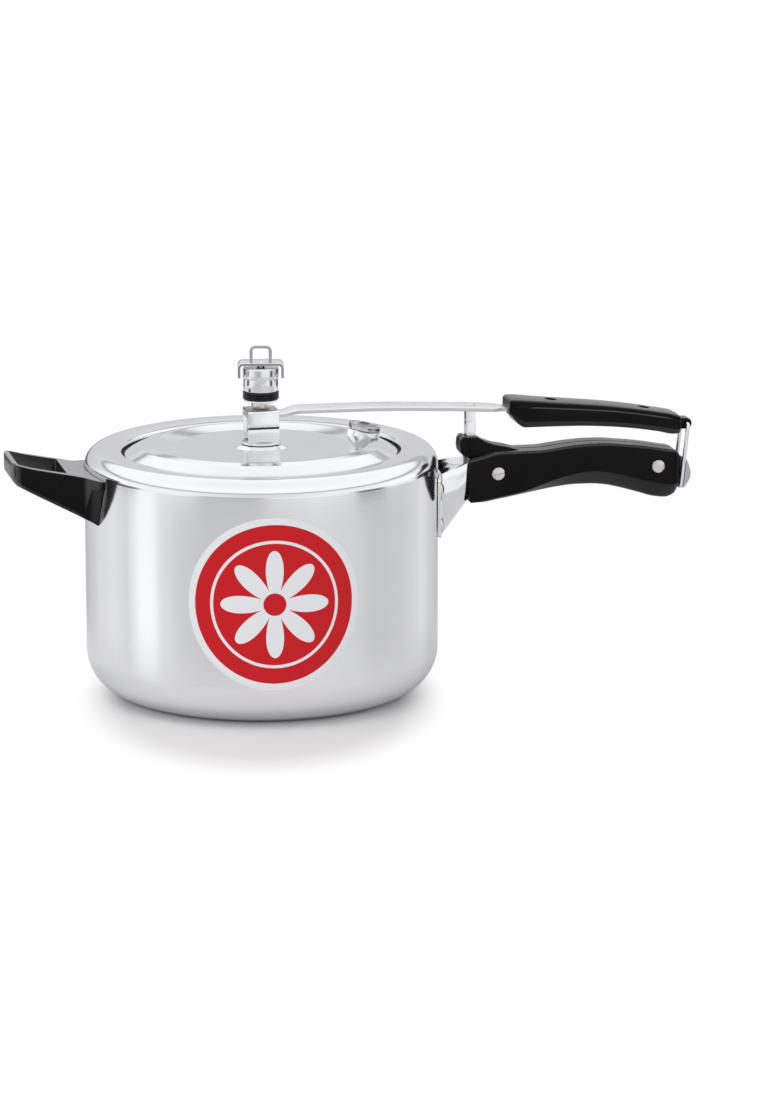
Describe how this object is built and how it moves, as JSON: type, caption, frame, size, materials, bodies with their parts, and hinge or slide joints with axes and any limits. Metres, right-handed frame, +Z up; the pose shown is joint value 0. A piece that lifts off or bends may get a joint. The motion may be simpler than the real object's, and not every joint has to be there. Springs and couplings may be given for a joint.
{
  "type": "pressure cooker",
  "caption": "Inner-lid stovetop pressure cooker with a lever lid bar, pressure weight, safety valve, long locking handle and short helper handle.",
  "frame": {"origin": "centre of the pot's flat base, on the surface it stands on", "axes": "+X along the long handle, +Z up the pot's axis, -Y towards the labelled front"},
  "size_m": [0.4441, 0.2247, 0.2212],
  "materials": {
    "pot_aluminium": "polished",
    "lid_aluminium": "polished",
    "polished_steel": "mirror polished",
    "nickel_fasteners": "nickel plated",
    "black_phenolic": "semi-gloss moulded",
    "black_rubber": "matte",
    "label_film": "satin printed film",
    "tab_grey": "satin",
    "valve_alloy": "cast"
  },
  "bodies": {
    "pot": {"pot_body": "pot_aluminium", "pot_label": "label_film", "handle_bracket": "polished_steel", "bracket_rivet_front_low": "nickel_fasteners", "bracket_rivet_front_high": "nickel_fasteners", "bracket_rivet_rear_low": "nickel_fasteners", "bracket_rivet_rear_high": "nickel_fasteners", "body_handle_front_half": "black_phenolic", "body_handle_rear_half": "black_phenolic", "body_handle_screw_front": "nickel_fasteners", "body_handle_screw_rear": "nickel_fasteners", "body_handle_nut_front": "nickel_fasteners", "body_handle_nut_rear": "nickel_fasteners", "helper_handle": "black_phenolic", "helper_handle_stud": "nickel_fasteners", "helper_handle_screw": "nickel_fasteners"},
    "lid": {"lid_plate": "lid_aluminium", "sealing_ring": "black_rubber", "vent_tube": "polished_steel", "vent_tube_top_nut": "nickel_fasteners", "vent_tube_lower_nut": "nickel_fasteners", "lid_stirrup": "polished_steel", "lid_bar": "polished_steel", "bar_leg": "polished_steel", "leg_rivet": "nickel_fasteners", "lid_handle": "black_phenolic", "lid_handle_screw_front": "nickel_fasteners", "lid_handle_screw_rear": "nickel_fasteners", "safety_valve_body": "polished_steel", "safety_valve_plug": "valve_alloy", "safety_valve_nut": "nickel_fasteners"},
    "loop": {"locking_loop": "polished_steel", "loop_thumb_tab": "tab_grey"},
    "needle": {"weight_needle": "nickel_fasteners"},
    "weight": {"weight_body": "polished_steel", "weight_band": "black_rubber", "weight_cap_strap": "polished_steel", "weight_lifting_eye": "polished_steel"}
  },
  "joints": [
    {"name": "lid_lever", "type": "hinge", "parent": "pot", "child": "lid", "pos_m": [0.1358, 0, 0.1586], "axis": [0, -1, 0], "range_deg": [0, 10]},
    {"name": "loop_swing", "type": "hinge", "parent": "lid", "child": "loop", "pos_m": [0.2785, 0, 0.16], "axis": [0, -1, 0], "range_deg": [0, 130]},
    {"name": "weight_lift", "type": "slide", "parent": "lid", "child": "needle", "axis": [0, 0, 1], "range_m": [0, 0.03]},
    {"name": "weight_spin", "type": "hinge", "parent": "needle", "child": "weight", "pos_m": [0, 0, 0.2], "axis": [0, 0, 1], "continuous": true}
  ]
}
